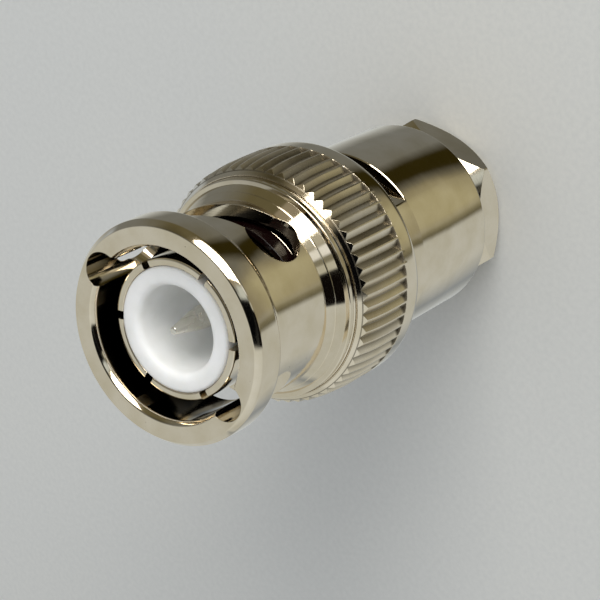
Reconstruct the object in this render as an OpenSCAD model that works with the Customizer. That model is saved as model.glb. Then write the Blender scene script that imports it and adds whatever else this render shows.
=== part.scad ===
// BNC plug, 50 ohm, clamp type for a 5 mm coaxial cable.
// It stands on the clamp nut's rear face: the origin is the centre of that face, +Z runs along
// the connector's axis to the mating face, and the two bayonet entries lie on the X axis.
// Lengths along the axis are given as depths behind the mating face, and at() turns them into Z.

/* [Overall] */

// mating face to the rear face of the clamp nut
overall_l = 27.5; // [26.5:0.1:30]
// largest diameter, over the crests of the knurl
knurl_d = 14.5; // [14.3:0.1:16]

/* [Coupling sleeve] */

// diameter of the band behind the mating face
band_d = 12.84; // [12.6:0.1:13.4]
// diameter of the waist that the bayonet slots open through
waist_d = 11.2; // [11:0.02:11.7]
// depth at which the band ends and slopes down to the waist
band_end = 1.9; // [1.4:0.1:2.2]
// depth at which the waist ends and the cove up to the bead starts
cove_at = 7.1; // [6.9:0.05:7.3]
// bore that takes the barrel of the mating jack
sleeve_bore_d = 9.8; // [9.7:0.02:10]
// diameter of the smooth bead in front of the knurl
bead_d = 13.6; // [13:0.1:13.9]
// length of the sleeve
sleeve_l = 14.6; // [14.3:0.1:15.4]
// free travel of the sleeve against the wave washer
sleeve_travel = 0.6; // [0.3:0.1:0.7]

/* [Bayonet] */

// width of the stud entry and of the ramp slot
slot_w = 2.3; // [2.1:0.05:2.5]
// diameter that the entries and the ramp are cut out to
slot_reach_d = 12.1; // [11.6:0.1:12.2]
// turn from the entry to the locking hole
ramp_turn = 90; // [80:1:100]
// rise of the ramp towards the rear over that turn
ramp_rise = 2.3; // [1.6:0.1:2.5]
// depth of the ramp's centre line where it leaves the entry
ramp_start = 3.9; // [3.8:0.05:4.3]
// diameter of the locking hole
lock_hole_d = 3.32; // [3:0.02:3.6]
// depth of the locking hole's centre
lock_hole_at = 5.8; // [5.6:0.1:6.1]

/* [Knurl] */

// number of straight V grooves
knurl_n = 60; // [50:1:68]
// width of the flat crest left between two grooves
knurl_land = 0.08; // [0.06:0.01:0.3]
// depth of each groove
knurl_depth = 0.2; // [0.1:0.01:0.25]
// depth at which the grooves end in the plain rear rim
knurl_end = 13; // [12.6:0.1:13.1]

/* [Body] */

// diameter of the plain cylinder behind the sleeve
body_d = 11.8; // [11.6:0.1:12]
// depth of the body's rear face
body_end = 24.2; // [23.6:0.1:25]
// across the two wrench flats
flats_af = 10.58; // [10.2:0.02:11.2]
// depth of the shoulder where the wrench flats end
flats_end = 17.07; // [16.5:0.01:18]
// turn of the wrench flats about the axis
flats_turn = 101; // [0:1:180]

/* [Contacts] */

// diameter over the spring fingers of the outer contact
outer_contact_d = 8.12; // [8.08:0.01:8.2]
// bore of the outer contact, which is also the insulators' diameter
outer_contact_bore = 7.2; // [7:0.05:7.3]
// depth of the tips of the spring fingers
outer_contact_at = 1.05; // [0.9:0.05:1.3]
// number of spring fingers
finger_n = 6; // [4:1:8]
// width of the slots between the fingers
finger_slot_w = 0.48; // [0.3:0.02:0.6]
// diameter of the centre pin
pin_d = 1.35; // [1.32:0.01:1.4]
// depth of the centre pin's tip
pin_at = 0.9; // [0.8:0.1:1.4]

/* [Insulator] */

// bore that takes the insulator of the mating jack
insulator_bore = 4.95; // [4.9:0.01:5.1]
// depth of the insulator's front face
insulator_at = 0.96; // [0.9:0.02:1.2]
// depth of the web at the bottom of that bore
web_at = 6.3; // [6:0.1:6.4]

/* [Clamp] */

// across the flats of the clamp nut's hexagon
nut_af = 10; // [9.8:0.1:10.2]
// turn of the hexagon about the axis
nut_turn = 11; // [0:1:59]
// bore for the cable's jacket
cable_bore = 5.3; // [5:0.1:5.6]
// plain diameter of the nut's shank, over its thread
shank_d = 8.8; // [8.6:0.1:8.9]
// diameter of the clamp pieces inside the body
clamp_d = 8; // [7.8:0.1:8.2]

/* [Clearances] */

// radial clearance between turned pieces that slide or turn on each other
running = 0.05; // [0.03:0.01:0.08]

/* [Hidden] */

$fn = 96;
small = 0.3;                                  // deburred edges and minor steps
past = 0.5;                                   // how far a cutter runs past what it cuts
bore_r = sleeve_bore_d / 2;
body_r = body_d / 2;
contact_r = outer_contact_d / 2;
core_r = outer_contact_bore / 2;
clamp_r = clamp_d / 2;
gasket_at = web_at;                           // the jack's rim meets the gasket here
boss_at = gasket_at + 1;                      // front face of the body
boss_r = bore_r - small;
contact_seat_r = contact_r + 0.24;            // the thicker root of the outer contact
flange_at = boss_at + 1.5;
flange_end = flange_at + 2.1;
chamber_r = knurl_d / 2 - 0.65;               // the room for washers inside the sleeve
flange_r = chamber_r - running;
washer_bore_r = body_r + 0.1;
washer_r = chamber_r - 0.12;
thrust_at = flange_end + 0.9 + sleeve_travel; // the wave washer flattens to 0.9
ring_at = thrust_at + 0.7;
ring_w = 0.6;
ring_seat_r = chamber_r + 0.22;
contact_end = boss_at + 2.6;
front_insulator_end = web_at + 3.3;
rear_insulator_end = front_insulator_end + 2.6;
pin_root_r = pin_d / 2 + 0.2;                 // the thicker length held in the web
collar_r = 1.3;
solder_cup_r = 1.05;
clamp_at = rear_insulator_end + 0.2;
clamp_end = clamp_at + 3.2;
washer_t = 0.4;
cable_gasket_at = clamp_end + washer_t;
cable_gasket_end = cable_gasket_at + 2.4;
shank_at = cable_gasket_end + washer_t;
shank_r = shank_d / 2;
nut_face_r = nut_af / 2 - 0.1;
nut_front = body_end + 0.75;                  // where the nut's collar ends and its hexagon starts
hex_r = nut_af / 2 / cos(30);

function at(depth) = overall_l - depth;
function low(pts) = [for (p = pts) [p[0], at(p[1])]];
// Points along a small rounding, centred at a radius and a depth.
function bend(r, depth, size, from, to) =
    [for (i = [0:6]) let (a = from + i * (to - from) / 6) [r + size * cos(a), depth + size * sin(a)]];

// A solid of revolution from [radius, depth] points.
module turned(pts) {
    rotate_extrude() polygon(low(pts));
}

// A plain ring between two depths.
module ring(r_out, r_in, from, to) {
    turned([[r_in, from], [r_out, from], [r_out, to], [r_in, to]]);
}

// Half a turn apart, as both sides of the bayonet are.
module both_sides() {
    for (side = [0, 180]) rotate(side) children();
}

// Lay a 2D shape drawn in (across, forward) on the sleeve's side at this turn and depth,
// and drive it outwards from inside the bore.
module radially(turn, depth, to) {
    rotate(turn) translate([0, 0, at(depth)]) rotate([90, 0, 90])
        translate([0, 0, bore_r - 1]) linear_extrude(to - bore_r + 1) children();
}

// ---- coupling sleeve ----

// The outside of the sleeve: bevel, band, slope, waist, cove, bead, neck and knurl blank.
module sleeve_blank() {
    band_r = band_d / 2;
    waist_r = waist_d / 2;
    bead_r = bead_d / 2;
    crest_r = knurl_d / 2;
    cove_r = bead_r - waist_r - 0.35;
    bead_at = 8.17;
    turned(concat([[bore_r, 0.22], [bore_r + 0.14, 0], [band_r - small, 0],
        [band_r - 0.02, 0.36], [band_r, band_end], [waist_r, band_end + 0.85]],
        bend(waist_r + cove_r, cove_at, cove_r, 180, 100),
        bend(bead_r - 0.33, bead_at, 0.33, -90, 90),
        [[bead_r - 0.33, bead_at + 0.45], [crest_r - 0.5, bead_at + 0.48],
        [crest_r, bead_at + 0.92]],
        bend(crest_r - 0.6, sleeve_l - 0.6, 0.6, 0, 90), [[bore_r, sleeve_l]]));
}

// V grooves along the axis. Each cutter ends just above the crests, clear of its neighbours.
module knurl_grooves() {
    crest_r = knurl_d / 2;
    top = 0.01;
    half_w = (PI * knurl_d / knurl_n - knurl_land) / 2;
    for (i = [0:knurl_n - 1]) rotate((i + 0.5) * 360 / knurl_n)
        translate([crest_r, 0, at(knurl_end)]) linear_extrude(knurl_end - 8.55)
            polygon([[-knurl_depth, 0], [top, -half_w * (1 + top / knurl_depth)],
                [top, half_w * (1 + top / knurl_depth)]]);
}

// Stud entry, ramp and locking hole on one side. The ramp is three straight passes of a slot
// cutter, each square to the sleeve at its middle, with round corners where they meet.
module bayonet_slot() {
    w = slot_w;
    reach = slot_reach_d / 2;
    passes = 3;
    step = ramp_turn / passes;
    intersection() {
        cylinder(h = 2 * overall_l, r = reach, center = true);
        union() {
            translate([0, 0, at(ramp_start)]) linear_extrude(ramp_start + past) {
                translate([bore_r - 1, -w / 2]) square([reach - w / 2 - bore_r + 1, w]);
                translate([reach - w / 2, 0]) circle(d = w);
            }
            for (i = [0:passes]) radially(-i * step, ramp_start + i * ramp_rise / passes, reach + 1)
                circle(d = w);
            for (i = [0:passes - 1]) {
                x = reach * sin(step / 2);
                rise = ramp_rise / passes;
                radially(-(i + 0.5) * step, ramp_start + (i + 0.5) * rise, reach + 1)
                    polygon([[x, rise / 2 + w / 2], [x, rise / 2 - w / 2],
                        [-x, -rise / 2 - w / 2], [-x, -rise / 2 + w / 2]]);
            }
        }
    }
    radially(-ramp_turn, lock_hole_at, reach + 2) circle(d = lock_hole_d);
}

module coupling_sleeve() {
    color("#b5b09c") difference() {
        sleeve_blank();
        ring(bore_r, 0, -past, flange_at + past);
        ring(chamber_r, 0, flange_at, sleeve_l + past);
        ring(ring_seat_r, 0, ring_at, ring_at + ring_w);
        knurl_grooves();
        both_sides() bayonet_slot();
    }
}

// ---- body ----

module body() {
    edge = 0.15;
    color("#b0aa94") difference() {
        turned([[0, boss_at], [boss_r - edge, boss_at], [boss_r, boss_at + edge],
            [boss_r, flange_at], [flange_r, flange_at], [flange_r, flange_end],
            [body_r, flange_end], [body_r, body_end - edge], [body_r - edge, body_end],
            [0, body_end]]);
        turned([[0, boss_at - past], [contact_seat_r, boss_at - past],
            [contact_seat_r, contact_end], [core_r, contact_end], [core_r, rear_insulator_end],
            [clamp_r, rear_insulator_end + 0.6], [clamp_r, shank_at],
            [shank_r + running, shank_at], [shank_r + running, body_end + past],
            [0, body_end + past]]);
        rotate(flats_turn) both_sides()
            translate([flats_af / 2, -body_r, at(flats_end)])
                cube([body_r, body_d, flats_end - sleeve_l - 0.1]);
    }
}

// ---- contacts and insulators ----

module outer_contact() {
    finger_l = gasket_at - outer_contact_at;
    color("#b8b29e") difference() {
        turned([[core_r, outer_contact_at + 0.12], [core_r + 0.12, outer_contact_at],
            [contact_r - 0.12, outer_contact_at], [contact_r, outer_contact_at + 0.12],
            [contact_r, gasket_at], [contact_seat_r, gasket_at], [contact_seat_r, contact_end],
            [core_r, contact_end]]);
        for (i = [0:finger_n - 1]) rotate(34 + i * 360 / finger_n)
            translate([core_r - past, -finger_slot_w / 2, at(gasket_at - 0.4)])
                cube([2, finger_slot_w, finger_l]);
    }
}

module centre_contact() {
    pin_r = pin_d / 2;
    tip_r = 0.18;
    cup_end = rear_insulator_end + 0.8;
    color("#d6d0c0") difference() {
        turned([[0, pin_at], [tip_r, pin_at + 0.03], [tip_r + 0.06, pin_at + 0.12],
            [pin_r, pin_at + 2.3], [pin_r, web_at], [pin_root_r, web_at],
            [pin_root_r, front_insulator_end], [collar_r, front_insulator_end],
            [collar_r, front_insulator_end + 0.8], [solder_cup_r, front_insulator_end + 0.8],
            [solder_cup_r, cup_end], [0, cup_end]]);
        ring(0.5, 0, front_insulator_end + 1, cup_end + past);
        translate([0, 0, at(cup_end - 1)]) rotate([0, 90, 0]) cylinder(h = 2, r = 0.3);
    }
}

module front_insulator() {
    color("#f2f3f2") turned([[insulator_bore / 2, insulator_at], [core_r - 0.05, insulator_at],
        [core_r, insulator_at + 0.1], [core_r, front_insulator_end],
        [pin_root_r, front_insulator_end], [pin_root_r, web_at], [insulator_bore / 2, web_at]]);
}

module rear_insulator() {
    color("#f2f3f2") turned([[collar_r, front_insulator_end], [core_r, front_insulator_end],
        [core_r, rear_insulator_end], [solder_cup_r, rear_insulator_end],
        [solder_cup_r, front_insulator_end + 0.8], [collar_r, front_insulator_end + 0.8]]);
}

module interface_gasket() {
    color("#4a1713") ring(boss_r, contact_seat_r, gasket_at, boss_at);
}

// ---- coupling spring stack ----

// Three waves: shallow hollows rolled in from both faces of a flat ring.
module wave_washer() {
    roll_r = 9;
    rise = (thrust_at - flange_end) * 2 / 3;
    inside = body_r / 2;
    color("#8f8a7a") difference() {
        ring(washer_r, washer_bore_r, flange_end, thrust_at);
        for (i = [0:2]) {
            rotate(i * 120) translate([inside, 0, at(flange_end) + roll_r - rise])
                rotate([0, 90, 0]) cylinder(h = body_r, r = roll_r);
            rotate(60 + i * 120) translate([inside, 0, at(thrust_at) - roll_r + rise])
                rotate([0, 90, 0]) cylinder(h = body_r, r = roll_r);
        }
    }
}

module thrust_washer() {
    color("#b0aa94") ring(washer_r, washer_bore_r, thrust_at, ring_at);
}

// An open ring sprung into the groove inside the sleeve.
module retaining_ring() {
    color("#8f8a7a") difference() {
        ring(ring_seat_r, washer_bore_r, ring_at, ring_at + ring_w);
        translate([body_r - 1, -0.9, at(ring_at + ring_w + past)]) cube([2, 1.8, 2]);
    }
}

// ---- cable clamp ----

module braid_clamp() {
    sleeve_r = 1.65;
    color("#b0aa94") turned([[sleeve_r, clamp_at], [2.3, clamp_at], [clamp_r, clamp_at + 1.6],
        [clamp_r, clamp_end], [cable_bore / 2, clamp_end], [cable_bore / 2, clamp_end - 1],
        [sleeve_r, clamp_end - 1]]);
}

module front_slip_washer() {
    color("#b0aa94") ring(clamp_r, cable_bore / 2, clamp_end, cable_gasket_at);
}

module cable_gasket() {
    color("#26262a") ring(clamp_r, cable_bore / 2 - 0.05, cable_gasket_at, cable_gasket_end);
}

module rear_slip_washer() {
    color("#b0aa94") ring(clamp_r - running, cable_bore / 2, cable_gasket_end, shank_at);
}

// Threaded shank, round collar and a hexagon whose corners are turned off at both ends.
module clamp_nut() {
    mouth = 0.35;
    color("#b5b09c") difference() {
        union() {
            turned([[0, shank_at], [shank_r - 0.3, shank_at], [shank_r, shank_at + 0.3],
                [shank_r, body_end], [nut_face_r, body_end], [nut_face_r, nut_front + 0.5],
                [0, nut_front + 0.5]]);
            intersection() {
                rotate(nut_turn) linear_extrude(overall_l - nut_front) circle(hex_r, $fn = 6);
                turned([[0, nut_front], [nut_face_r, nut_front], [hex_r, nut_front + 1.07],
                    [hex_r, overall_l - 1.15], [nut_face_r, overall_l], [0, overall_l]]);
            }
        }
        turned([[0, shank_at - past], [cable_bore / 2, shank_at - past],
            [cable_bore / 2, overall_l - mouth], [cable_bore / 2 + mouth, overall_l],
            [cable_bore / 2 + mouth, overall_l + past], [0, overall_l + past]]);
    }
}

body();
coupling_sleeve();
outer_contact();
centre_contact();
front_insulator();
rear_insulator();
interface_gasket();
wave_washer();
thrust_washer();
retaining_ring();
braid_clamp();
front_slip_washer();
cable_gasket();
rear_slip_washer();
clamp_nut();
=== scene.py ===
# %% [markdown]
# # A BNC plug, turned from brass and nickel plated
#
# A plug of this kind is almost all lathe work: a sleeve, a body, a ring of spring fingers, a hexagonal
# nut and two white PTFE insulators, every one of them a profile spun about one axis. So nearly every
# piece here is a profile of radius against depth, spun by numpy, with its corners rounded as a lathe
# hand breaks them. What isn't round, such as the knurl, the wrench flats and the hexagon, is a rule that
# changes the radius with the angle. Only the bayonet slots and the finger slots are cut with a Boolean.
#
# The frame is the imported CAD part: it stands on the nut's rear face, +Z points out of the mating face.

import math
import bpy
import numpy as np
from mathutils import Matrix, Vector


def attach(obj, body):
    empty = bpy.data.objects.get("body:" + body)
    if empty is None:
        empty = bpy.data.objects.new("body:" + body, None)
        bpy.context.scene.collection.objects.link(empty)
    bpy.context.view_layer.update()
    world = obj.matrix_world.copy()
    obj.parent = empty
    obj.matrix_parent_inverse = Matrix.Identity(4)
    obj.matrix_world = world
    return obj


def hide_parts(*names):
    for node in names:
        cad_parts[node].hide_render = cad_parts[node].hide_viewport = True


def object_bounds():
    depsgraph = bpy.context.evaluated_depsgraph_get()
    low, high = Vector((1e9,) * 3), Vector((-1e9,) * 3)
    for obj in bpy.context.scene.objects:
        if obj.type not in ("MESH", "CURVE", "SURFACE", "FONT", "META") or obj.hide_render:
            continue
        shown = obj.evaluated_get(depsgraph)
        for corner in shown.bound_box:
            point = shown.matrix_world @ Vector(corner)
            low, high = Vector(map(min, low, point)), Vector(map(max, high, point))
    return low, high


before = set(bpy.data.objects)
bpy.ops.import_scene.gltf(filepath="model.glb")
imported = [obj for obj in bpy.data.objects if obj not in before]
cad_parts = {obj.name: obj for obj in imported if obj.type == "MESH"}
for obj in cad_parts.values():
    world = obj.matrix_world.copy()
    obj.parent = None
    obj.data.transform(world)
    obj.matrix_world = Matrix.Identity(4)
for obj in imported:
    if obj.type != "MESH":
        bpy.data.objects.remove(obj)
cad_low, cad_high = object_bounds()
MM = 0.001
OVERALL = cad_high.z / MM
print(f"{len(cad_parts)} CAD nodes, {OVERALL:.1f} mm from the nut to the mating face")

# %% [markdown]
# ## Sizes
#
# Blender works in metres and a machinist in millimetres, so every size below is in millimetres and is
# turned to metres only when a mesh is made. Lengths are depths behind the mating face, which is how a
# connector's drawing gives them.

# %% Sizes in millimetres
# Coupling sleeve: mouth, band, neck, waist, cone with a fine ridge, bead, knurl and plain rim.
BORE_R, BAND_R, WAIST_R, BAND_END, NECK_L = 4.9, 6.42, 5.6, 1.9, 0.85
MOUTH_BEVEL, MOUTH_BEVEL_R, BAND_BEVEL, BAND_BEVEL_R = 0.3, 0.2, 0.37, 0.32
CONE_AT, CONE_END, CONE_END_R, RIDGE_AT, RIDGE = 7.3, 8.3, 6.2, 7.79, 0.016
BEAD_R, BEAD_ROUND, BEAD_AT, BEAD_END = 6.5, 0.09, 8.42, 8.62
CREST_R, CHAMBER_R, SLEEVE_L, TAIL_ROUND = 7.25, 6.6, 14.6, 0.7
FRONT_R, FRONT_AT, FULL_AT, CHAMFER_RISE = 7.05, 9.25, 11.6, 0.88
KNURL_N, KNURL_LAND, KNURL_DEPTH, KNURL_END = 60, 0.08, 0.2, 13.0
CREST_ROWS = (9.55, 9.8, 10.1, 10.5, 11.0, FULL_AT, 12.4, KNURL_END - 0.05, KNURL_END, 13.3, 13.85)
# Bayonet slots and the ring's groove, both in the sleeve.
SLOT_W, SLOT_REACH, RAMP_TURN, RAMP_RISE, RAMP_START = 2.3, 6.05, 90.0, 2.3, 3.9
LOCK_R, LOCK_AT, CUTTER_INNER_R = 1.66, 5.8, 3.9
RING_AT, RING_W, RING_SEAT_R = 13.1, 0.6, 6.82
# Body, from its boss to its rear end, with the shoulder that the flats leave.
BODY_R, BODY_END, FLAT_R, FLATS_END, FLATS_TURN = 5.9, 24.2, 5.29, 17.07, 101.0
BOSS_AT, BOSS_R, FLANGE_AT, FLANGE_END, FLANGE_R = 7.3, 4.6, 8.8, 10.9, 6.55
EDGE, HAIR, PLAIN_AT, GLAND_R = 0.06, 0.0001, 20.0, 4.0
# Outer contact, then pin and insulators.
CONTACT_R, CORE_R, SEAT_R, CONTACT_AT, GASKET_AT, CONTACT_END = 4.06, 3.6, 4.3, 1.05, 6.3, 9.9
FINGERS, FINGER_GAP, FINGER_TURN = 6, 0.48, 34.0
PIN_R, PIN_AT, PIN_TIP_R, PIN_TAPER, PIN_ROOT_R = 0.675, 0.9, 0.2, 2.3, 0.875
COLLAR_R, COLLAR_L, CUP_R, CUP_BORE_R, FRONT_END, REAR_END = 1.3, 0.8, 1.05, 0.5, 9.6, 12.2
INSULATOR_R, INSULATOR_AT = 2.475, 0.96
# Clamp nut and its thread.
SHANK_AT, SHANK_R, CABLE_R, CABLE_BEVEL = 18.8, 4.4, 2.65, 0.35
NUT_AF, NUT_TURN, NUT_FACE_R, NUT_FRONT = 10.0, 11.0, 4.9, BODY_END + 0.75
CONE_DEEP, CONE_REAR = 1.07, 1.15
HEX_CORNER_R = NUT_AF / 2 / math.cos(math.pi / 6)
THREAD_PITCH, THREAD_DEPTH = 0.75, 0.4

# %% [markdown]
# ## Helpers for turned work
#
# A turned piece needs three things: a profile with softened corners, the angles to spin it through, and
# faces that point outwards. The corners are softened in the profile, because a real edge catches light
# in every renderer, while a Bevel modifier would struggle with thousands of tiny faces.

# %% Profiles and meshes


def soften(profile, steps=4):
    """Round a closed or open profile's corners. Each point is (radius, depth, size of the rounding);
    a corner is replaced by points of the curve (1-t)^2 A + 2t(1-t) P + t^2 B, where A and B lie that
    size back along the two edges that meet at P."""
    pts = np.array([p[:2] for p in profile], float)
    out = []
    for i, p in enumerate(profile):
        size = p[2] if len(p) > 2 else 0.0
        before, after = pts[i - 1], pts[(i + 1) % len(pts)]
        a, b = before - pts[i], after - pts[i]
        la, lb = np.hypot(*a), np.hypot(*b)
        size = min(size, 0.48 * la, 0.48 * lb)
        if size <= 1e-6:
            out.append(pts[i][None])
            continue
        t = np.linspace(0, 1, steps + 1)[:, None]
        start, end = pts[i] + a / la * size, pts[i] + b / lb * size
        out.append((1 - t) ** 2 * start + 2 * t * (1 - t) * pts[i] + t**2 * end)
    return np.concatenate(out)


def spin(profile, angles, radius_rule=None):
    """Points of a profile spun about Z: (r cos a, r sin a, overall length - depth), for every angle a.
    radius_rule(r, depth, a) may change the radius; it gets whole arrays."""
    r = np.broadcast_to(profile[:, :1], (len(profile), len(angles)))
    depth = np.broadcast_to(profile[:, 1:2], r.shape)
    a = np.broadcast_to(angles[None], r.shape)
    if radius_rule is not None:
        r, depth = radius_rule(r, depth, a)
    return np.stack([r * np.cos(a), r * np.sin(a), OVERALL - depth], -1) * MM


def grid_quads(rows, cols):
    """Quads of a grid that closes on itself both ways: each joins a point to its neighbours along the
    next row and the next column, counted round with a remainder."""
    i, j = np.meshgrid(np.arange(rows), np.arange(cols), indexing="ij")
    k, m = (i + 1) % rows, (j + 1) % cols
    return np.stack([i * cols + j, i * cols + m, k * cols + m, k * cols + j], -1).reshape(-1, 4)


def make_mesh(name, points, faces, sharp=35):
    """A mesh object from arrays. Points that coincide, such as a profile's ends on the axis, are merged,
    the faces are turned outwards by the sign of the enclosed volume, and edges over `sharp` stay crisp."""
    key = np.round(points / (0.0002 * MM)).astype(np.int64)
    _, first, index = np.unique(key, axis=0, return_index=True, return_inverse=True)
    points, faces = points[first], index.reshape(-1)[faces]
    same = faces == np.roll(faces, -1, axis=1)
    quads = faces[same.sum(1) == 0]
    corners = faces[same.sum(1) == 1]
    corners = corners[~same[same.sum(1) == 1]].reshape(-1, 3)
    tri = points[np.concatenate([quads[:, [0, 1, 2]], quads[:, [0, 2, 3]], corners])]
    if np.einsum("ij,ij->i", tri[:, 0], np.cross(tri[:, 1], tri[:, 2])).sum() < 0:
        quads, corners = quads[:, ::-1], corners[:, ::-1]
    loops = quads.tolist() + corners.tolist()
    mesh = bpy.data.meshes.new(name)
    mesh.from_pydata(points, [], loops)
    mesh.update()
    mesh.shade_smooth()
    mesh.set_sharp_from_angle(angle=math.radians(sharp))
    piece = bpy.data.objects.new(name, mesh)
    bpy.context.scene.collection.objects.link(piece)
    print(f"{name}: {len(loops)} faces")
    return piece


def turned(name, profile, angles=None, radius_rule=None, sharp=35):
    """A closed profile spun into a solid."""
    angles = np.linspace(0, 2 * math.pi, 180, endpoint=False) if angles is None else angles
    pts = spin(profile, angles, radius_rule)
    return make_mesh(name, pts.reshape(-1, 3), grid_quads(len(profile), len(angles)), sharp)


def cut(piece, cutters, sharp=35):
    """Take each cutter out of the piece in turn, keep the result as plain mesh and drop the cutters."""
    for tool in cutters:
        step = piece.modifiers.new("cut", "BOOLEAN")
        step.object, step.operation, step.solver = tool, "DIFFERENCE", "MANIFOLD"
    baked = bpy.data.meshes.new_from_object(piece.evaluated_get(bpy.context.evaluated_depsgraph_get()))
    piece.modifiers.clear()
    piece.data = baked
    baked.name = piece.name
    baked.shade_smooth()
    baked.set_sharp_from_angle(angle=math.radians(sharp))
    for tool in cutters:
        bpy.data.objects.remove(tool)
    print(f"{piece.name}: {len(baked.polygons)} faces after cutting")
    return piece


# %% [markdown]
# ## The coupling sleeve
#
# The sleeve is what a hand turns. Its outline is a bevelled mouth, a short band, a slope down to a
# straight waist, a cone up to a small bead, a chamfer and the knurl, whose crest still rises a little
# over its first two millimetres. The knurl's V grooves follow the crest. One row of the mesh lies where they
# run out on the front chamfer, so that row's depth follows from its radius, and the saw-toothed edge
# comes out exact.

# %% The sleeve's outline


def arc(r, depth, size, start, end, steps):
    """Points on a circle about (r, depth), from one angle to the other in degrees."""
    a = np.radians(np.linspace(start, end, steps))
    return [(r + size * c, depth + size * s) for c, s in zip(np.cos(a), np.sin(a))]


def on_cone(depth, above=0.0):
    """A point of the cone between waist and bead, or a little above it."""
    share = (depth - CONE_AT) / (CONE_END - CONE_AT)
    return WAIST_R + (CONE_END_R - WAIST_R) * share + above, depth


def chamfer_at(r):
    """Depth of the front chamfer at a radius: a cone through the crest's front edge."""
    return FRONT_AT - (FRONT_R - r) * CHAMFER_RISE


FRONT_SLOPE = 2 * (CREST_R - FRONT_R) / (FULL_AT - FRONT_AT)


def crest(depth):
    """Radius of the crest at a depth. It bulges like a parabola, CREST_R - rise * (share still to go)^2,
    and carries on at its front slope ahead of FRONT_AT."""
    share = np.clip((FULL_AT - depth) / (FULL_AT - FRONT_AT), 0, 1)
    return CREST_R - (CREST_R - FRONT_R) * share**2 - FRONT_SLOPE * np.clip(FRONT_AT - depth, 0, None)


RUN_OUT = 200.0  # stands for a radius: the row where the grooves run out on the chamfer
RIDGE_ROWS = [(-0.06, 0), (-0.03, 0), (0, RIDGE), (0.03, 0), (0.06, 0)]
outline = np.concatenate(
    [
        soften(
            [
                (BORE_R + 0.02, FLANGE_AT),
                (BORE_R, FLANGE_AT - 0.02),
                (BORE_R, MOUTH_BEVEL, 0.1),
                (BORE_R + MOUTH_BEVEL_R, 0.0, 0.07),
                (BAND_R - BAND_BEVEL_R, 0.0, 0.05),
                (BAND_R - 0.02, BAND_BEVEL, 0.08),
                (BAND_R, BAND_END, 0.14),
                (WAIST_R, BAND_END + NECK_L, 0.3),
                (WAIST_R, CONE_AT),
            ]
        ),
        np.array([on_cone(RIDGE_AT + step, above) for step, above in RIDGE_ROWS]),
        np.array([on_cone(CONE_END)]),
        np.array(arc(BEAD_R - BEAD_ROUND, BEAD_AT, BEAD_ROUND, -85, 0, 8)),
        np.array([(BEAD_R + 0.01, BEAD_END), (BEAD_R - 0.05, BEAD_END + 0.02)]),
        np.array([(r, chamfer_at(r)) for r in (BEAD_R - 0.05, BEAD_R - 0.04, BEAD_R)]),
        np.array([(RUN_OUT, 0.0)]),
        np.array([(CREST_R, depth) for depth in CREST_ROWS]),
        np.array(arc(CREST_R - TAIL_ROUND, SLEEVE_L - TAIL_ROUND, TAIL_ROUND, 8, 90, 9)),
        soften(
            [
                (CHAMBER_R + 0.1, SLEEVE_L, 0.03),
                (CHAMBER_R, SLEEVE_L - 0.1),
                (CHAMBER_R, RING_AT + RING_W),
                (RING_SEAT_R, RING_AT + RING_W),
                (RING_SEAT_R, RING_AT),
                (CHAMBER_R, RING_AT),
                (CHAMBER_R, FLANGE_AT),
            ]
        ),
    ]
)

# %% The knurl's rule and the finished blank
RUN_OUT_PER_MM = 1 / (1 / CHAMFER_RISE - FRONT_SLOPE)
half_groove = 0.5 * (1 - KNURL_LAND * KNURL_N / (2 * math.pi * CREST_R))
tooth = half_groove * np.array([-1, -0.94, -0.6, -0.3, -0.04, 0.04, 0.3, 0.6, 0.94, 1])
tooth_angles = ((np.arange(KNURL_N)[:, None] + 0.5 + tooth) * 2 * math.pi / KNURL_N).reshape(-1)


def knurled(r, depth, a):
    """Radius over the knurl: crest - depth of groove * (1 - distance from its middle / half its width).
    Where the groove's floor, which rises with the crest, meets the chamfer, both have the same radius:
    depth = FRONT_AT - groove / (1 / CHAMFER_RISE - the crest's slope)."""
    off = np.abs((a * KNURL_N / (2 * math.pi)) % 1 - 0.5)
    groove = KNURL_DEPTH * np.clip(1 - off / half_groove, 0, 0.97)
    run_out = FRONT_AT - groove * RUN_OUT_PER_MM
    inside = (r > CREST_R - 0.01) & (r < RUN_OUT) & (depth > FRONT_AT) & (depth < KNURL_END - 0.01)
    out_r = np.where(inside, crest(depth) - groove, r)
    out_r = np.where(r == RUN_OUT, FRONT_R - (FRONT_AT - run_out) / CHAMFER_RISE, out_r)
    return out_r, np.where(r == RUN_OUT, run_out, depth)


sleeve = turned("sleeve_turned", outline, tooth_angles, knurled, sharp=22)

# %% [markdown]
# ## The bayonet slots
#
# Two studs on the jack enter at notches in the sleeve's mouth, ride down a ramp as the sleeve is turned
# and drop into a round hole. The ramp only opens to the outside where the waist is thinner than the
# cutter's reach. Each cutter is a solid of its own: a notch, a ramp carried round the axis, and a drill.

# %% Cutters for one side


def plug(name, outline_points, low, high, place):
    """A prism: a closed flat outline carried from `low` to `high`; place(u, v, w) says where a point of
    the outline (u, v) lies at height w."""
    u, v = np.array(outline_points, float).T
    n = len(u)
    pts = np.concatenate([place(u, v, np.full(n, w)) for w in (low, high)])
    i = np.arange(n)
    k = (i + 1) % n
    side = np.stack([i, k, k + n, i + n], -1)
    centre = np.array([[u.mean(), v.mean()]])
    caps = np.concatenate([place(centre[:, 0], centre[:, 1], np.array([w])) for w in (low, high)])
    hub = np.full(n, 2 * n)
    fan = [np.stack([k, i, hub, hub], -1), np.stack([i + n, k + n, hub + 1, hub + 1], -1)]
    return make_mesh(name, np.concatenate([pts, caps]) * MM, np.concatenate([side, *fan]))


def turned_by(x, y, z, degrees):
    """Turn points about Z: x cos - y sin, x sin + y cos."""
    a = math.radians(degrees)
    return np.stack([x * math.cos(a) - y * math.sin(a), x * math.sin(a) + y * math.cos(a), z], -1)


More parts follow.
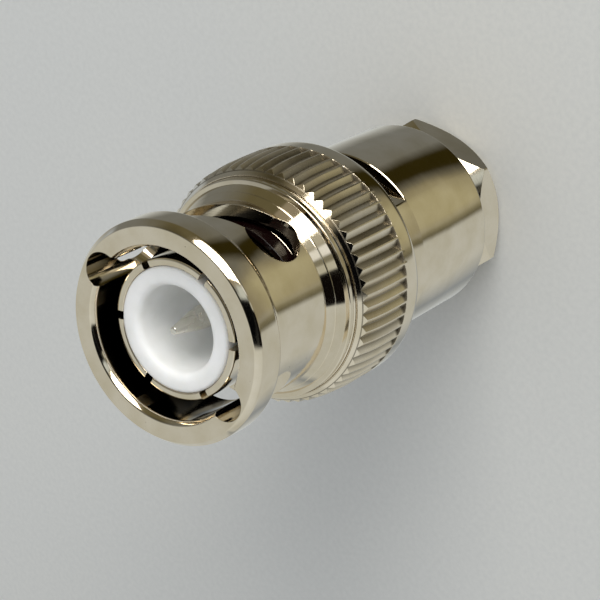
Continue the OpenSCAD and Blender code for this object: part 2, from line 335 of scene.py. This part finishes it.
def circle_points(n, r, start=0.0, sweep=360.0):
    """n points round a circle, or along part of one."""
    a = np.radians(start + sweep * np.arange(n) / (n if sweep == 360 else n - 1))
    return np.stack([r * np.cos(a), r * np.sin(a)], -1)


def entry_cutter(side):
    """The stud's notch: a slot with a round outer end, driven along Z from the mouth to the ramp."""
    end = circle_points(25, SLOT_W / 2, -90, 180) + [SLOT_REACH - SLOT_W / 2, 0]
    inner = CUTTER_INNER_R
    outline_points = np.concatenate([[[inner, -SLOT_W / 2]], end, [[inner, SLOT_W / 2]]])
    return plug(
        f"entry_cutter_{side}", outline_points, OVERALL - RAMP_START, OVERALL + 0.5,
        lambda u, v, w: turned_by(u, v, w, side),
    )  # fmt: skip


def ramp_cutter(side):
    """The ramp: a strip SLOT_W wide along a line that falls from the notch to the hole, its ends round.
    A point (s, t) of its outline, in mm round the waist and along the axis, lies at angle s / radius."""
    run = math.radians(RAMP_TURN) * SLOT_REACH
    lean = math.degrees(math.atan2(RAMP_RISE, run))
    far = circle_points(25, SLOT_W / 2, 90 - lean, 180) + [-run, RAMP_START + RAMP_RISE]
    near = circle_points(25, SLOT_W / 2, -90 - lean, 180) + [0, RAMP_START]
    along = np.linspace(0, 1, 60)[1:-1, None]
    there, back = far[-1] + (near[0] - far[-1]) * along, near[-1] + (far[0] - near[-1]) * along
    strip = np.concatenate([far, there, near, back])
    strip = np.roll(strip, -12, axis=0)
    n = len(strip)

    def place(u, v, w):
        a = u / SLOT_REACH + math.radians(side)
        return np.stack([w * np.cos(a), w * np.sin(a), OVERALL - v], -1)

    ring = np.concatenate([place(*strip.T, np.full(n, w)) for w in (CUTTER_INNER_R, SLOT_REACH)])
    i = np.arange(n)
    k = (i + 1) % n
    walls = np.stack([i, k, k + n, i + n], -1)
    j = np.arange(n // 2 - 1)
    lid = np.stack([j, j + 1, n - 2 - j, n - 1 - j], -1)
    lid = np.concatenate([lid[:, ::-1], lid + n])
    return make_mesh(f"ramp_cutter_{side}", ring * MM, np.concatenate([walls, lid]))


def hole_cutter(side):
    """The locking hole: a drill driven straight in towards the axis."""
    return plug(
        f"hole_cutter_{side}", circle_points(72, LOCK_R), CUTTER_INNER_R, 9.0,
        lambda u, v, w: turned_by(w, u, OVERALL - LOCK_AT + v, side - RAMP_TURN),
    )  # fmt: skip


cut(sleeve, [make(side) for side in (0, 180) for make in (entry_cutter, ramp_cutter, hole_cutter)], 22)

# %% [markdown]
# ## The body
#
# The body runs the whole length: a thin boss that carries the jack's rim, the flange that the spring
# pushes on, a plain cylinder and, behind the sleeve, two wrench flats. A flat cut across a cylinder is
# the line r = d / cos(angle from the flat's normal), so the radius is the smaller of that and the
# cylinder's. The shoulder where the flats end is two rows of the profile a hair apart, and the row at
# PLAIN_AT keeps its shading off the plain end.

# %% The body's profile and flats


def flatted(r, depth, a):
    """Radius with two flats milled off behind the sleeve: min(r, FLAT_R / |cos(angle - turn)|). Where
    the shoulder meets the cylinder its edge is broken by EDGE."""
    c = np.abs(np.cos(a - math.radians(FLATS_TURN)))
    chord = FLAT_R / np.maximum(c, 0.05)
    outside = r > BOSS_R
    milled = (depth > SLEEVE_L) & (depth < FLATS_END - HAIR) & outside
    edge = (np.abs(depth - FLATS_END) < 5 * HAIR) & outside
    r = np.where(edge, np.minimum(r, np.maximum(chord, BODY_R - EDGE)), r)
    return np.where(milled, np.minimum(r, chord), r), depth


half_flat = math.acos(FLAT_R / BODY_R)
flat_edges = np.radians([FLATS_TURN, FLATS_TURN + 180])[:, None] + [-half_flat, half_flat]
body_angles = np.sort(np.append(np.linspace(0, 2 * math.pi, 240, endpoint=False), flat_edges % (2 * math.pi)))
body_profile = soften(
    [
        (SEAT_R, BOSS_AT),
        (BOSS_R, BOSS_AT, 0.08),
        (BOSS_R, FLANGE_AT),
        (FLANGE_R, FLANGE_AT, 0.08),
        (FLANGE_R, FLANGE_END, 0.08),
        (BODY_R, FLANGE_END),
        (BODY_R, SLEEVE_L + 0.1),
        (BODY_R - HAIR, SLEEVE_L + 0.1 + HAIR),
        (BODY_R - HAIR, FLATS_END - 10 * HAIR),
        (BODY_R, FLATS_END),
        (BODY_R, FLATS_END + EDGE),
        (BODY_R, FLATS_END + EDGE + 0.02),
        (BODY_R, PLAIN_AT),
        (BODY_R, BODY_END, 0.18),
        (SHANK_R + 0.05, BODY_END, 0.05),
        (SHANK_R + 0.05, SHANK_AT),
        (GLAND_R, SHANK_AT),
        (GLAND_R, REAR_END + 0.6),
        (CORE_R, REAR_END),
        (CORE_R, CONTACT_END),
        (SEAT_R, CONTACT_END),
    ],
    5,
)
body = turned("body_turned", body_profile, body_angles, flatted)

# %% [markdown]
# ## The outer contact
#
# A thin tube of hard, springy metal with six slots, so that its fingers press outwards on the jack's
# bore. The tips are chamfered inside and out to lead the jack in.

# %% The spring fingers
contact = turned(
    "outer_contact_turned",
    soften(
        [
            (CORE_R, CONTACT_AT, 0.1),
            (CONTACT_R, CONTACT_AT, 0.16),
            (CONTACT_R, GASKET_AT),
            (SEAT_R, GASKET_AT, 0.03),
            (SEAT_R, CONTACT_END),
            (CORE_R, CONTACT_END),
        ],
        5,
    ),
)


def finger_cutter(i):
    """A saw cut: a thin box along Z through the wall of the tube."""
    box = [[3.2, -FINGER_GAP / 2], [4.8, -FINGER_GAP / 2], [4.8, FINGER_GAP / 2], [3.2, FINGER_GAP / 2]]
    return plug(
        f"finger_cutter_{i}", box, OVERALL - GASKET_AT + 0.4, OVERALL,
        lambda u, v, w: turned_by(u, v, w, FINGER_TURN + i * 360 / FINGERS),
    )  # fmt: skip


cut(contact, [finger_cutter(i) for i in range(FINGERS)])

# %% [markdown]
# ## The centre contact and its insulators
#
# PTFE is soft to machine and its corners come out slightly rounded, which the mouth of the bore shows.
# The pin has a long taper to a small blunt tip, and a cup behind for the cable's inner conductor.

# %% Pin and insulators
pin = turned(
    "centre_contact_turned",
    soften(
        [
            (0, PIN_AT),
            (PIN_TIP_R, PIN_AT, 0.09),
            (PIN_R, PIN_AT + PIN_TAPER, 0.6),
            (PIN_R, GASKET_AT),
            (PIN_ROOT_R, GASKET_AT),
            (PIN_ROOT_R, FRONT_END),
            (COLLAR_R, FRONT_END),
            (COLLAR_R, FRONT_END + COLLAR_L),
            (CUP_R, FRONT_END + COLLAR_L),
            (CUP_R, REAR_END + 0.8, 0.08),
            (CUP_BORE_R, REAR_END + 0.8, 0.05),
            (CUP_BORE_R, FRONT_END + 1.0),
            (0, FRONT_END + 1.0),
        ],
        5,
    ),
    np.linspace(0, 2 * math.pi, 64, endpoint=False),
)
front_insulator = turned(
    "front_insulator_turned",
    soften(
        [
            (INSULATOR_R, GASKET_AT, 0.08),
            (INSULATOR_R, INSULATOR_AT, 0.5),
            (CORE_R - 0.02, INSULATOR_AT, 0.22),
            (CORE_R - 0.02, FRONT_END),
            (PIN_ROOT_R, FRONT_END),
            (PIN_ROOT_R, GASKET_AT),
        ],
        9,
    ),
)

# %% [markdown]
# ## The clamp nut
#
# A hexagon is another rule for the radius: the distance to the nearest flat over the cosine of the angle
# from its normal. The corners are turned off by two cones, so the flat ends where the cone's radius
# equals the hexagon's. Each angle solves for that depth, and the rows of the mesh follow the curve, which
# gives the crisp arcs that a chamfered nut has. The thread on its shank is one row pattern that climbs
# by a pitch a turn.

# %% The hexagon and the thread
FLAT_FRONT, FLAT_REAR = 100.0, 101.0  # stand for radii: the rows where the flats end


def hexagon(a):
    """Radius of a hexagon at an angle: half across the flats over the cosine of the angle left over
    from the nearest flat's normal."""
    left = (a - math.radians(NUT_TURN)) % (math.pi / 3) - math.pi / 6
    return NUT_AF / 2 / np.cos(left)


def nut_rule(r, depth, a):
    """Rows marked FLAT_FRONT and FLAT_REAR go where the cone of that end meets the hexagon: its depth
    grows with (the hexagon's radius - the face's) / (the corner's radius - the face's). The thread's rows
    sink by a triangle wave of depth / pitch - angle / full turn. Other rows stay as drawn."""
    hexed = hexagon(a)
    share = (hexed - NUT_FACE_R) / (HEX_CORNER_R - NUT_FACE_R)
    front_d, rear_d = NUT_FRONT + CONE_DEEP * share, OVERALL - CONE_REAR * share
    turns = (depth / THREAD_PITCH - a / (2 * math.pi)) % 1
    wave = np.clip(np.abs(turns - 0.5) * 2.4 - 0.1, 0, 1)
    fade = np.clip((depth - SHANK_AT - 0.3) / 0.3, 0, 1) * np.clip((BODY_END - 0.5 - depth) / 0.3, 0, 1)
    threaded = (depth > SHANK_AT + 0.25) & (depth < BODY_END - 0.4) & (r > 4.2) & (r < 4.45)
    out_d = np.where(r == FLAT_FRONT, front_d, np.where(r == FLAT_REAR, rear_d, depth))
    out_r = np.where(r >= FLAT_FRONT, hexed, np.where(threaded, r - THREAD_DEPTH * wave * fade, r))
    return out_r, out_d


thread_rows = [(SHANK_R, d) for d in np.linspace(SHANK_AT + 0.3, BODY_END - 0.45, 62)]
shank_end = [(CABLE_R, OVERALL - CABLE_BEVEL), (CABLE_R, SHANK_AT, 0.05), (SHANK_R - 0.3, SHANK_AT)]
collar = [(SHANK_R, BODY_END - 0.2), (SHANK_R, BODY_END), (NUT_FACE_R, BODY_END, 0.06)]
rear_face = [(NUT_FACE_R, OVERALL, 0.04), (CABLE_R + CABLE_BEVEL, OVERALL, 0.05)]
nut_profile = np.concatenate(
    [
        soften(shank_end)[1:-1],
        np.array([(SHANK_R - 0.3, SHANK_AT)] + thread_rows),
        soften(collar + [(NUT_FACE_R, NUT_FRONT)]),
        np.array([(FLAT_FRONT, 0.0), (FLAT_REAR, 0.0)]),
        soften(rear_face + [(CABLE_R, OVERALL - CABLE_BEVEL, 0.05)]),
    ]
)
nut = turned("clamp_nut_turned", nut_profile, np.linspace(0, 2 * math.pi, 288, endpoint=False), nut_rule)

# %% [markdown]
# ## Fitting the pieces to the frame
#
# Each new piece stands for a CAD node and rides on the body that carries it, so it moves with the joint.

# %% Which piece stands for which node
FITTED = [
    (sleeve, "coupling_sleeve", "coupling", "nickel_plate"),
    (body, "body", "connector_body", "nickel_plate"),
    (contact, "outer_contact", "connector_body", "nickel_plate"),
    (pin, "centre_contact", "connector_body", "silver_plate"),
    (front_insulator, "front_insulator", "connector_body", "ptfe"),
    (nut, "clamp_nut", "clamp", "nickel_plate"),
]
for piece, node_name, carrier, slot_name in FITTED:
    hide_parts(node_name)
    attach(piece, carrier)

# %% [markdown]
# ## Materials
#
# The colours are written as sRGB codes, the way a colour picker shows them, and go through one function
# to the linear light that shaders use. A second small function adds a node, sets it and links it.

# %% Colour and node helpers


def linear(code):
    """sRGB hex to linear light: c / 12.92 up to 0.04045, ((c + 0.055) / 1.055) ^ 2.4 above it."""
    c = np.array([int(code[i : i + 2], 16) for i in (1, 3, 5)]) / 255
    c = np.where(c <= 0.04045, c / 12.92, ((c + 0.055) / 1.055) ** 2.4)
    return (*(float(v) for v in c), 1.0)


def add(tree, kind, inputs=None, **settings):
    """Add a node with its settings, then give each input a value or link it to another node's output."""
    made = tree.nodes.new("ShaderNode" + kind)
    for key, value in settings.items():
        setattr(made, key, value)
    for key, value in (inputs or {}).items():
        if isinstance(value, bpy.types.NodeSocket):
            tree.links.new(value, made.inputs[key])
        else:
            made.inputs[key].default_value = value
    return made


def maths(tree, operation, a, b=0.0, c=0.0):
    """One Math node's result."""
    return add(tree, "Math", {0: a, 1: b, 2: c}, operation=operation).outputs[0]


def ramp_to(tree, value, low, high, to_low=0.0, to_high=1.0):
    """Map a value from one range to another and clamp it there."""
    inputs = {"Value": value, "From Min": low, "From Max": high, "To Min": to_low, "To Max": to_high}
    return add(tree, "MapRange", inputs).outputs["Result"]


def mix(tree, factor, a, b):
    """Mix two colours. The Mix node keeps one set of sockets for each data type, colours are 6 and 7."""
    made = tree.nodes.new("ShaderNodeMix")
    made.data_type = "RGBA"
    for key, value in ((0, factor), (6, a), (7, b)):
        if isinstance(value, bpy.types.NodeSocket):
            tree.links.new(value, made.inputs[key])
        else:
            made.inputs[key].default_value = value
    return made.outputs[2]


def noise(tree, spot, size_mm, detail=2.0, **more):
    """Noise whose grains are about size_mm across: its scale is 1 / size in metres."""
    inputs = {"Vector": spot, "Scale": 1 / (size_mm * MM), "Detail": detail}
    return add(tree, "TexNoise", inputs, **more).outputs["Fac"]


def new_material(name):
    """A material with object coordinates at one end and a Principled shader at the other."""
    made = bpy.data.materials.new(name)
    made.use_nodes = True
    tree = made.node_tree
    tree.nodes.clear()
    spot = add(tree, "TexCoord").outputs["Object"]
    shader = add(tree, "BsdfPrincipled")
    add(tree, "OutputMaterial", {"Surface": shader.outputs[0]})
    return made, tree, spot, shader


def lathe_spot(tree, spot):
    """Radius and height of a point, and both as a vector (sqrt(x^2 + y^2), z, 0), which is the same all
    round the axis."""
    parts = add(tree, "SeparateXYZ", {0: spot})
    flat = add(tree, "CombineXYZ", {0: parts.outputs[0], 1: parts.outputs[1]})
    radius = add(tree, "VectorMath", {0: flat.outputs[0]}, operation="LENGTH").outputs["Value"]
    return radius, parts.outputs[2], add(tree, "CombineXYZ", {0: radius, 1: parts.outputs[2]}).outputs[0]


# %% [markdown]
# Bright nickel is a mirror with a faint yellow warmth. What makes it look turned and handled is small:
# marks that run round the axis, a plating that is a little cloudier in places, rare specks, and a tone
# that darkens towards the floor of the knurl's grooves. Deep in bores and in an inner corner, shade is
# painted into the colour. The Bevel node rounds the light on edges that a Boolean left sharp.

# %% Masks for nickel plating


def depth_at(depth):
    """Height in metres of a depth in millimetres."""
    return (OVERALL - depth) * MM


def knurl_masks(tree, radius, height):
    """Where the knurl is, how deep in its grooves a point lies, and how near their ends. The knurl is the
    skin below the crest, in front of the rear rim and behind the line where the grooves run out."""
    to_go = ramp_to(tree, height, depth_at(FULL_AT), depth_at(FRONT_AT))
    square = maths(tree, "POWER", to_go, 2.0)
    crest_here = maths(tree, "MULTIPLY_ADD", square, (FRONT_R - CREST_R) * MM, CREST_R * MM)
    below = maths(tree, "SUBTRACT", crest_here, radius)
    skin = maths(tree, "LESS_THAN", below, (KNURL_DEPTH + 0.05) * MM)
    run_out = maths(tree, "MULTIPLY_ADD", below, RUN_OUT_PER_MM, depth_at(FRONT_AT + 0.03))
    behind = maths(tree, "LESS_THAN", height, run_out)
    ahead = maths(tree, "GREATER_THAN", height, depth_at(KNURL_END))
    knurl = maths(tree, "MULTIPLY", skin, maths(tree, "MULTIPLY", behind, ahead))
    deep = ramp_to(tree, below, 0.05 * MM, KNURL_DEPTH * MM)
    ending = ramp_to(tree, height, depth_at(KNURL_END - 0.35), depth_at(KNURL_END - 0.12))
    groove_end = maths(tree, "MULTIPLY", ending, ramp_to(tree, below, 0.003 * MM, 0.03 * MM))
    return knurl, maths(tree, "MULTIPLY", deep, knurl), maths(tree, "MULTIPLY", groove_end, knurl)


def speck_mask(tree, spot):
    """Specks: the middles of a fifth of the cells of a Voronoi pattern 0.9 mm across."""
    cells = add(tree, "TexVoronoi", {"Vector": spot, "Scale": 1 / (0.9 * MM)})
    lot = add(tree, "SeparateColor", {0: cells.outputs["Color"]}).outputs[0]
    core = ramp_to(tree, cells.outputs["Distance"], 0.05, 0.03)
    return maths(tree, "MULTIPLY", core, maths(tree, "GREATER_THAN", lot, 0.8))


def painted_shade_mask(tree, radius, height, dark):
    """Where painted shade goes: inside a radius, 0 at the first depth and 1 from the second to the third."""
    dark_r, dark_from, dark_to, dark_end = dark
    inside = ramp_to(tree, radius, (dark_r + 0.06) * MM, (dark_r + 0.02) * MM)
    deeper = ramp_to(tree, height, depth_at(dark_from), depth_at(dark_to))
    above_end = maths(tree, "GREATER_THAN", height, depth_at(dark_end))
    return maths(tree, "MULTIPLY", inside, maths(tree, "MULTIPLY", deeper, above_end))


# %% Nickel plating and the other metals
# The first tone darkens the knurl towards the floor of its grooves; the last is painted shade for deep bores
# and an inner corner.
GROOVE_TONE, SPECK, PAINTED_SHADE = "#4A4334", "#5A5140", "#241F17"


def nickel(name, tones, roughness, marks, edge_mm=0.05, dark=None):
    """Plated metal with a clean and a cloudy tone. `marks` gives how far apart its turning marks are and
    how deep, `edge_mm` how far its edges are broken, all in mm. `dark` gives a radius and three depths for
    painted shade: a part painted darker, as shade falls deep in a bore or in an inner corner."""
    made, tree, spot, shader = new_material(name)
    radius, height, ring = lathe_spot(tree, spot)
    cloud = noise(tree, spot, 1.6, 4.0)
    tone = mix(tree, ramp_to(tree, cloud, 0.35, 0.7), linear(tones[0]), linear(tones[1]))
    knurl, groove_floor, groove_end = knurl_masks(tree, radius, height)
    # Darker towards the floor of the knurl's grooves, and darker and rougher where they end at the rear.
    tone = mix(tree, maths(tree, "MULTIPLY", groove_floor, 0.6), tone, linear(GROOVE_TONE))
    tone = mix(tree, maths(tree, "MULTIPLY", groove_end, 0.75), tone, linear(GROOVE_TONE))
    tone = mix(tree, maths(tree, "MULTIPLY", speck_mask(tree, spot), 0.6), tone, linear(SPECK))
    # Painted shade, deep in a bore or in an inner corner.
    if dark:
        tone = mix(tree, painted_shade_mask(tree, radius, height, dark), tone, linear(PAINTED_SHADE))
    haze = ramp_to(tree, noise(tree, spot, 0.7, 3.0), 0.3, 0.7, roughness * 0.8, roughness * 1.3)
    worn = maths(tree, "MULTIPLY", knurl, 0.2)
    dull = maths(tree, "ADD", haze, maths(tree, "MULTIPLY_ADD", groove_end, 0.35, worn))
    lines = noise(tree, ring, marks[0], 3.0, noise_dimensions="2D")
    rounded = add(tree, "Bevel", {"Radius": edge_mm * MM}, samples=4).outputs[0]
    turning = add(tree, "Bump", {"Distance": marks[1] * MM, "Height": lines, "Normal": rounded})
    wave = noise(tree, spot, 1.1, 1.0)
    dents = add(tree, "Bump", {"Distance": 0.004 * MM, "Height": wave, "Normal": turning.outputs[0]})
    for key, value in (("Base Color", tone), ("Roughness", dull), ("Normal", dents.outputs[0])):
        tree.links.new(value, shader.inputs[key])
    shader.inputs["Metallic"].default_value = 1.0
    return made


BRIGHT, TURNED = ("#E9DDC8", "#DDD0B6"), (0.09, 0.0007)
# Painted shade: deep in the sleeve's bore, on the outer contact deep inside the sleeve, and in the inner
# corner where the wrench flats end.
BORE_SHADE = (BORE_R, 0.3, 1.2, SLEEVE_L)
SEAT_SHADE = (SEAT_R, 2.4, 4.0, CONTACT_END)
SHOULDER_SHADE = (BODY_R - 0.1, FLATS_END - 0.02, FLATS_END - 0.002, FLATS_END + 0.02)
bright_nickel = nickel("bright_nickel_plate", BRIGHT, 0.075, TURNED, 0.03)
sleeve_nickel = nickel("bright_nickel_plate_sleeve", BRIGHT, 0.075, TURNED, 0.04, BORE_SHADE)
contact_nickel = nickel("bright_nickel_plate_contact", BRIGHT, 0.1, TURNED, 0.03, SEAT_SHADE)
body_nickel = nickel("bright_nickel_plate_body", BRIGHT, 0.075, TURNED, 0.03, SHOULDER_SHADE)
satin_nickel = nickel("satin_nickel_plate", ("#D8CDB8", "#C8BCA4"), 0.3, (0.05, 0.002))
silver = nickel("silver_plate", ("#F3F0E8", "#E6E1D4"), 0.24, (0.06, 0.001))
bronze = nickel("phosphor_bronze", ("#C9996B", "#B78658"), 0.25, (0.05, 0.0015))
print(f"{len(bpy.data.materials)} metals made")

# %% [markdown]
# PTFE is white and a little translucent, so light goes in and blurs its shadows; rubber and silicone are
# dull, with a fine grain.

# %% Plastic and rubber


def soft_material(name, base, shade, roughness, grain_mm, grain_depth, depth_mm=0.0):
    """A plastic or rubber; depth_mm is how far light wanders under the surface."""
    made, tree, spot, shader = new_material(name)
    _, _, ring = lathe_spot(tree, spot)
    cloud = noise(tree, spot, 1.3, 3.0)
    tone = mix(tree, ramp_to(tree, cloud, 0.35, 0.65), linear(base), linear(shade))
    haze = ramp_to(tree, noise(tree, spot, 0.4, 2.0), 0.3, 0.7, roughness * 0.85, roughness * 1.15)
    rings = noise(tree, ring, grain_mm, 2.0, noise_dimensions="2D")
    grain = noise(tree, spot, grain_mm * 1.5, 3.0)
    height = maths(tree, "ADD", maths(tree, "MULTIPLY", rings, 0.6), maths(tree, "MULTIPLY", grain, 0.4))
    rounded = add(tree, "Bevel", {"Radius": 0.08 * MM}, samples=4).outputs[0]
    bump = add(tree, "Bump", {"Distance": grain_depth * MM, "Height": height, "Normal": rounded})
    for key, value in (("Base Color", tone), ("Roughness", haze), ("Normal", bump.outputs[0])):
        tree.links.new(value, shader.inputs[key])
    if depth_mm:
        shader.inputs["Subsurface Weight"].default_value = 0.6
        shader.inputs["Subsurface Radius"].default_value = (1.0, 0.95, 0.9)
        shader.inputs["Subsurface Scale"].default_value = depth_mm * MM
    return made


ptfe = soft_material("white_ptfe", "#F8F9F8", "#F0F1EF", 0.42, 0.12, 0.003, 0.7)
# The silicone is nearly black: partly its own dark red, partly painted shade for the hollow seen through the
# locking hole.
silicone = soft_material("red_silicone", "#100303", "#0C0303", 0.25, 0.1, 0.004)
rubber = soft_material("black_rubber", "#1C1C1C", "#262524", 0.6, 0.1, 0.008)

# %% Give every piece its material
FINISH = {
    "nickel_plate": bright_nickel,
    "nickel_satin": satin_nickel,
    "spring_bronze": bronze,
    "silver_plate": silver,
    "ptfe": ptfe,
    "red_silicone": silicone,
    "black_rubber": rubber,
}


def dress(piece, finish):
    """One material on the whole piece."""
    piece.data.materials.clear()
    piece.data.materials.append(finish)


for piece, _, _, slot_name in FITTED:
    dress(piece, FINISH[slot_name])
dress(sleeve, sleeve_nickel)
dress(contact, contact_nickel)
dress(body, body_nickel)
KEPT = {
    "rear_insulator": "ptfe",
    "interface_gasket": "red_silicone",
    "cable_gasket": "black_rubber",
    "wave_washer": "spring_bronze",
    "retaining_ring": "spring_bronze",
    "thrust_washer": "nickel_satin",
    "braid_clamp": "nickel_satin",
    "front_slip_washer": "nickel_satin",
    "rear_slip_washer": "nickel_satin",
}
for node_name, slot_name in KEPT.items():
    dress(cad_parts[node_name], FINISH[slot_name])
print(f"{len(FITTED)} pieces modelled here and {len(KEPT)} taken from the CAD")

# %% [markdown]
# ## Surroundings
#
# A mirror shows its surroundings, so polished metal needs something to reflect. The camera and the soft
# materials get a plain pale world. Glossy rays see a dim workshop instead: a pale bench all round, a grey
# wall ahead, a dark doorway behind the camera and a few lit or dark things between them. Each is a panel
# with soft edges, and a later one covers an earlier one. Up in that room is across the connector's axis,
# so the room's three directions are written out and each ray is measured against them.

# %% The room that metal reflects
ROOM_UP = (0.56425, -0.82561, 0.0)
ROOM_AHEAD = (0.47415, 0.32405, -0.81864)
ROOM_RIGHT = (-0.67587, -0.46191, -0.57431)
NICKEL = np.array(linear("#E9DDC8")[:3])
WALL = "#6E6A5E"
# What stands there, the azimuths it spans and how soft they end, the elevations it spans and how soft
# they end, and its tone as nickel shows it. Azimuth 0 is ahead of the camera, 90 right of it, 180 behind;
# all are in degrees. A panel wider than a full turn goes all round.
PANELS = [
    ("upper wall", (-200, 200), 1, (45, 120), 30, "#5C5236"),
    ("bench", (-200, 200), 1, (-120, 4), 20, "#B4AE9C"),
    ("bench behind", (140, 220), 30, (-120, -10), 6, "#C6C0AE"),
    ("shaded bench", (18, 40), 25, (-120, -10), 12, "#80807A"),
    ("edge of the bench", (25, 115), 30, (-3, 3), 3, "#625A42"),
    ("warm wall", (52, 125), 8, (3, 34), 10, "#867A5C"),
    ("lit board", (58, 74), 10, (3, 28), 8, "#A69A74"),
    ("dark post", (30, 52), 10, (4, 70), 8, "#2A2208"),
    ("light strip", (-58, -42), 8, (-8, 13), 6, "#A8A8A2"),
    ("dark corner", (-120, -85), 30, (34, 60), 12, "#403824"),
    ("ceiling behind", (150, 230), 30, (34, 120), 6, "#887A60"),
    ("shelves", (113, 149), 8, (18, 32), 2, "#787058"),
    ("box on the shelf", (118, 144), 8, (18, 26), 2, "#B4AC94"),
    ("wall over the shelves", (116, 150), 10, (40, 60), 10, "#A89E84"),
    ("lamp shade", (117, 147), 8, (32, 41), 2, "#DED6C4"),
    ("beside the doorway", (185, 235), 60, (-11, 35), 5, "#2C2818"),
    ("cupboard", (112, 152), 8, (-12, 18), 2, "#0A0604"),
    ("doorway", (147, 200), 10, (-12, 33), 5, "#040404"),
    ("sheet of paper", (149, 166), 6, (26, 37), 4, "#BCBAAA"),
]

world = bpy.data.worlds.new("studio")
bpy.context.scene.world = world
world.use_nodes = True
sky = world.node_tree
sky.nodes.clear()
ray = add(sky, "TexCoord").outputs["Generated"]


def along(direction):
    """How far the ray goes along a direction: their dot product."""
    return add(sky, "VectorMath", {0: ray, 1: direction}, operation="DOT_PRODUCT").outputs["Value"]


azimuth = maths(sky, "ARCTAN2", along(ROOM_RIGHT), along(ROOM_AHEAD))
elevation = maths(sky, "ARCSINE", along(ROOM_UP))


def band(angle, span, soft):
    """1 between two angles and 0 outside them, with edges `soft` degrees wide. The distance from the
    middle, taken the short way round, falls from 1 to 0 across the edge."""
    middle, half, edge = (math.radians(v) for v in (sum(span) / 2, (span[1] - span[0]) / 2, soft / 2))
    away = maths(sky, "SUBTRACT", angle, middle)
    away = maths(sky, "WRAP", away, math.pi, -math.pi)
    return ramp_to(sky, maths(sky, "ABSOLUTE", away), half + edge, half - edge)


def before_nickel(code):
    """The tone that looks like `code` once nickel has coloured it: code / nickel."""
    return (*(np.array(linear(code)[:3]) / NICKEL), 1.0)


room = before_nickel(WALL)
for _, across, across_soft, upright, upright_soft, code in PANELS:
    here = maths(sky, "MULTIPLY", band(azimuth, across, across_soft), band(elevation, upright, upright_soft))
    room = mix(sky, here, room, before_nickel(code))
WORLD_LEVEL = 0.62
plain = linear("#F2F4F6")
is_glossy = add(sky, "LightPath").outputs["Is Glossy Ray"]
glow = add(sky, "Background", {"Color": mix(sky, is_glossy, plain, room)})
level = ramp_to(sky, is_glossy, 0, 1, WORLD_LEVEL, 1.0)
sky.links.new(level, glow.inputs["Strength"])
add(sky, "OutputWorld", {"Surface": glow.outputs[0]})
print(f"{len(PANELS)} panels in the room: {', '.join(panel[0] for panel in PANELS)}")

# %% [markdown]
# ## Floor, lamp and camera
#
# The floor is plain and pale. One large soft lamp hangs high behind the camera, which is what makes the
# long highlights and the soft shadow. The metal doesn't see the floor itself,
# since the room's lower rows already stand for it. The plug stands on its nut, so the floor goes down
# with the nut when that is unscrewed.

# %% Floor
FLOOR_HALF = 0.6
corners = [(x * FLOOR_HALF, y * FLOOR_HALF, 0) for x, y in ((-1, -1), (1, -1), (1, 1), (-1, 1))]
floor_mesh = bpy.data.meshes.new("floor")
floor_mesh.from_pydata(corners, [], [(0, 1, 2, 3)])
floor = bpy.data.objects.new("floor", floor_mesh)
bpy.context.scene.collection.objects.link(floor)
floor_paint, tree, spot, shader = new_material("floor_paint")
patch = mix(tree, ramp_to(tree, noise(tree, spot, 40, 2.0), 0.3, 0.7), linear("#CFD1D0"), linear("#D3D4D1"))
fibre = ramp_to(tree, noise(tree, spot, 0.35, 3.0), 0.3, 0.7)
patch = mix(tree, maths(tree, "MULTIPLY", fibre, 0.5), patch, linear("#C6C8C7"))
tree.links.new(patch, shader.inputs["Base Color"])
shader.inputs["Roughness"].default_value = 0.9
dress(floor, floor_paint)
floor.visible_glossy = False
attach(floor, "clamp_follower")

# %% Lamp
AIM, LAMP_AWAY = Vector((-1.174, 1.552, 14.862)) * MM, 0.4
LAMP_TO = Vector((0.21490, -0.88032, 0.42293))
lamp_light = bpy.data.lights.new("key", "AREA")
lamp_light.shape = "RECTANGLE"
lamp_light.size, lamp_light.size_y = 0.29, 0.24
lamp_light.energy = 1.3
lamp_light.color = linear("#FFFDF8")[:3]
lamp = bpy.data.objects.new("key", lamp_light)
bpy.context.scene.collection.objects.link(lamp)
lamp_back = LAMP_TO.normalized()
lamp_up = Vector(ROOM_UP)
lamp_right = lamp_up.cross(lamp_back).normalized()
lamp_up = lamp_back.cross(lamp_right)
lamp_turn = Matrix([lamp_right, lamp_up, lamp_back]).transposed().to_4x4()
lamp.matrix_world = Matrix.Translation(AIM + lamp_back * LAMP_AWAY) @ lamp_turn
print(f"lamp {lamp_light.size:.2f} by {lamp_light.size_y:.2f} m, {LAMP_AWAY} m from the plug")

# %% Camera
camera_data = bpy.data.cameras.new("camera")
camera_data.lens, camera_data.sensor_width = 114.363, 36
camera_data.clip_start, camera_data.clip_end = 0.005, 10
camera = bpy.data.objects.new("camera", camera_data)
bpy.context.scene.collection.objects.link(camera)
look = Vector((0.23628, 0.60231, -0.76249))
picture_up, picture_right = Vector((0.69814, -0.65103, -0.29792)), Vector((-0.67585, -0.46194, -0.57432))
turn = Matrix([picture_right, picture_up, -look]).transposed().to_4x4()
camera.matrix_world = Matrix.Translation(Vector((-27.590, -65.786, 100.108)) * MM) @ turn
bpy.context.scene.camera = camera
bpy.context.scene.view_settings.view_transform = "Standard"
